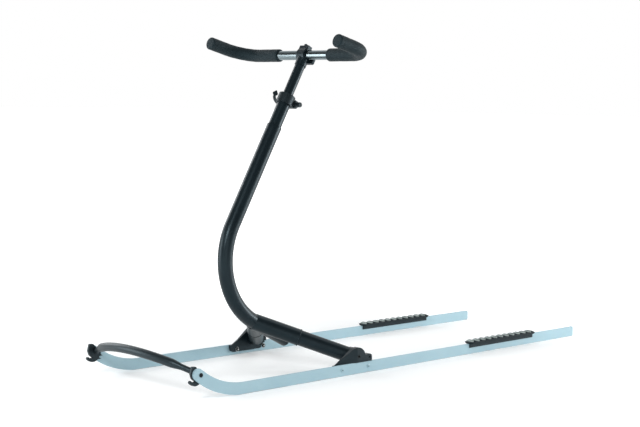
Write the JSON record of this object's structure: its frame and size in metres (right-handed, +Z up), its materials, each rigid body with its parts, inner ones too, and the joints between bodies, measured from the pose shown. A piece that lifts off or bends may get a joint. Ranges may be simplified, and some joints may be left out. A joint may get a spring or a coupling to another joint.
{
  "type": "kick sled",
  "caption": "Folding kick sled: two steel runners with ribbed footrests, a forked curved mast, and a height-adjustable horned handlebar.",
  "frame": {"origin": "on the ground, under the middle of the overall box", "axes": "+Z up, -Y toward the front (the upturned noses), +X to the rider's left"},
  "size_m": [0.5736, 1.7157, 0.9681],
  "materials": {
    "blade_steel": "pale blue-grey powder coat",
    "black_plastic": "satin black",
    "black_paint": "satin black powder coat",
    "zinc_bolts": "zinc plated",
    "dark_steel": "blackened",
    "black_rubber": "matte, ribbed",
    "bar_steel": "satin polished",
    "grip_foam": "charcoal foam"
  },
  "bodies": {
    "sled": {"runner_left": "blade_steel", "runner_right": "blade_steel", "tip_clamp_left": "black_plastic", "tip_clamp_right": "black_plastic", "tip_bolts": "zinc_bolts", "front_bow": "black_paint", "foot_bracket_left": "black_paint", "foot_bracket_right": "black_paint", "bracket_bolts": "zinc_bolts", "hinge_pins": "dark_steel", "footrest_left": "black_rubber", "footrest_right": "black_rubber"},
    "mast": {"arm_left": "black_paint", "arm_right": "black_paint", "fork_crown": "black_paint", "mast_tube": "black_paint", "mast_sleeve": "black_plastic", "release_collar": "black_plastic", "release_skewer": "dark_steel", "release_nut": "black_plastic", "release_lever": "black_plastic"},
    "bar": {"inner_tube": "black_paint", "stem": "black_paint", "handlebar": "bar_steel", "grip_left": "grip_foam", "grip_right": "grip_foam", "end_plugs": "black_plastic"}
  },
  "joints": [
    {"name": "mast_fold", "type": "hinge", "parent": "sled", "child": "mast", "pos_m": [0, -0.1945, 0.0505], "axis": [-1, 0, 0], "range_deg": [0, 85]},
    {"name": "bar_height", "type": "slide", "parent": "mast", "child": "bar", "axis": [0, 0.4909, 0.8712], "range_m": [-0.08, 0.06]}
  ]
}
